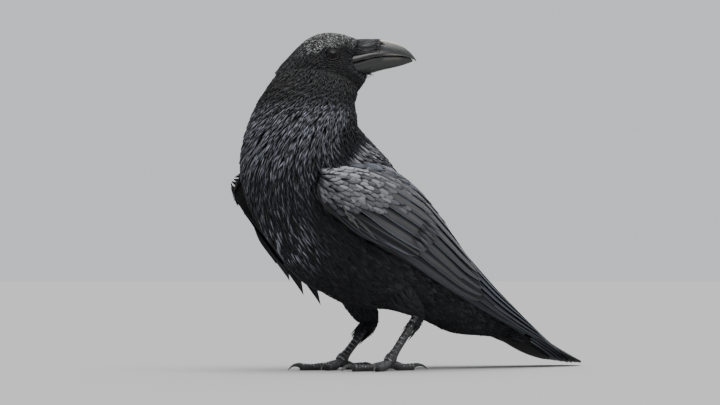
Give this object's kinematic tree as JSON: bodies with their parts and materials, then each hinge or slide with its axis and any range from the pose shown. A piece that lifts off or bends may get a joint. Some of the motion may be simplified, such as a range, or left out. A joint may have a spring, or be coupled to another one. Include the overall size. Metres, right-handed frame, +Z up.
{
  "type": "standing raven",
  "caption": "Life-size common raven, perched stance, body pitched up, head turned back over its left shoulder, wings folded, tail low.",
  "frame": {"origin": "middle of the bounding box at the level of the soles", "axes": "+Z up, the body faces -Y, the bird's left is +X; the bill points between +X and +Y"},
  "size_m": [0.1652, 0.4534, 0.3501],
  "materials": {
    "plumage": "black contour feathers with a blue-grey gloss",
    "wing_plumage": "black flight and tail feathers, smooth, faint blue-grey sheen",
    "horn": "polished black horn",
    "leg_skin": "dark grey scaled skin",
    "eye": "wet, very dark brown"
  },
  "bodies": {
    "root": {"bill_lower": "horn", "bill_upper": "horn", "bristles_left": "plumage", "bristles_right": "plumage", "claw_hind_left": "horn", "claw_hind_right": "horn", "claw_inner_left": "horn", "claw_inner_right": "horn", "claw_middle_left": "horn", "claw_middle_right": "horn", "claw_outer_left": "horn", "claw_outer_right": "horn", "eye_left": "eye", "eye_right": "eye", "head": "plumage", "neck": "plumage", "tail": "wing_plumage", "tarsus_left": "leg_skin", "tarsus_right": "leg_skin", "thigh_left": "plumage", "thigh_right": "plumage", "toe_hind_left": "leg_skin", "toe_hind_right": "leg_skin", "toe_inner_left": "leg_skin", "toe_inner_right": "leg_skin", "toe_middle_left": "leg_skin", "toe_middle_right": "leg_skin", "toe_outer_left": "leg_skin", "toe_outer_right": "leg_skin", "trunk": "plumage", "wing_coverts_left": "wing_plumage", "wing_coverts_right": "wing_plumage", "wing_primaries_left": "wing_plumage", "wing_primaries_right": "wing_plumage", "wing_secondaries_left": "wing_plumage", "wing_secondaries_right": "wing_plumage"}
  },
  "joints": []
}
